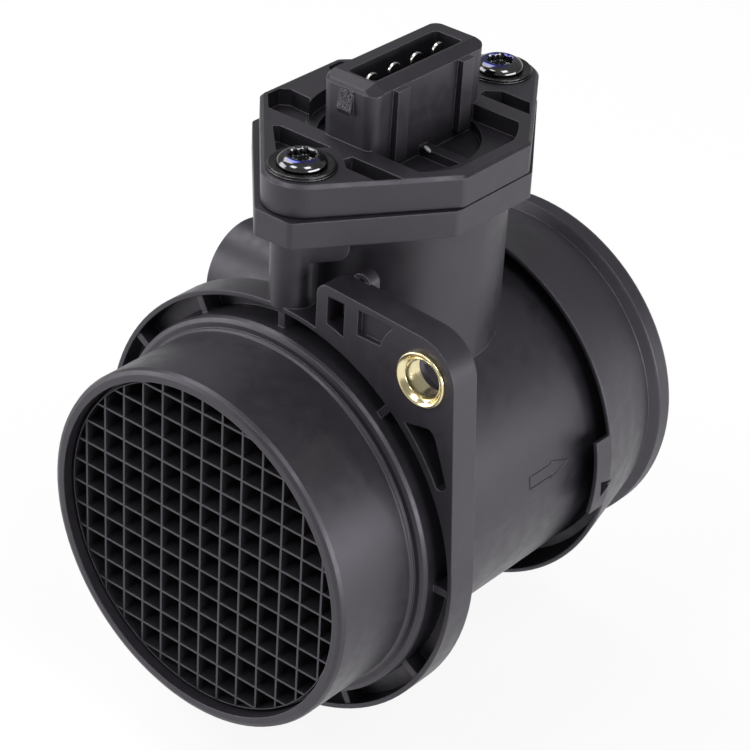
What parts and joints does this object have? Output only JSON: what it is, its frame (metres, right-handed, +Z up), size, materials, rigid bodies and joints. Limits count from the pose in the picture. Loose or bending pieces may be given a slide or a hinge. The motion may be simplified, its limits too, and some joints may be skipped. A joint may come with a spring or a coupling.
{
  "type": "mass airflow sensor",
  "caption": "Hot-film mass airflow sensor: a round duct with inlet grid, mounting flange and outlet collar, and an upright electronics module with a plug socket.",
  "frame": {"origin": "centre of the mounting flange's front face, on the duct axis", "axes": "+Y along the air flow, from the inlet grid to the outlet collar; +Z up, towards the plug; +X right, seen from the inlet"},
  "size_m": [0.0716, 0.0833, 0.1112],
  "materials": {
    "housing_plastic": "fine matte moulded, black",
    "grid_plastic": "fine matte moulded, black",
    "collar_plastic": "fine matte moulded, black",
    "cover_plastic": "fine matte moulded, black",
    "insert_plastic": "matte moulded, black",
    "terminal_metal": "bright tinned",
    "bush_brass": "turned and polished",
    "screw_steel": "glossy black coating",
    "washer_steel": "satin black coating",
    "heat_sink_metal": "milled",
    "board_laminate": "solder-masked laminate",
    "chip_plastic": "moulded epoxy",
    "film_ceramic": "glazed ceramic",
    "sensor_glass": "glass bead",
    "seal_rubber": "matte"
  },
  "bodies": {
    "root": {"duct_housing": "housing_plastic", "inlet_grid": "grid_plastic", "outlet_collar": "collar_plastic", "module_cover": "cover_plastic", "terminal_pin_1": "terminal_metal", "terminal_pin_2": "terminal_metal", "terminal_pin_3": "terminal_metal", "terminal_pin_4": "terminal_metal", "stem_cup": "insert_plastic", "stem_seal": "seal_rubber", "measuring_tube": "insert_plastic", "hot_film_element": "film_ceramic", "air_temperature_sensor": "sensor_glass", "heat_sink": "heat_sink_metal", "circuit_board": "board_laminate", "control_chip": "chip_plastic", "power_transistor": "chip_plastic", "screw_front": "screw_steel", "screw_rear": "screw_steel", "washer_front": "washer_steel", "washer_rear": "washer_steel", "bush_upper": "bush_brass", "bush_lower": "bush_brass"}
  },
  "joints": []
}
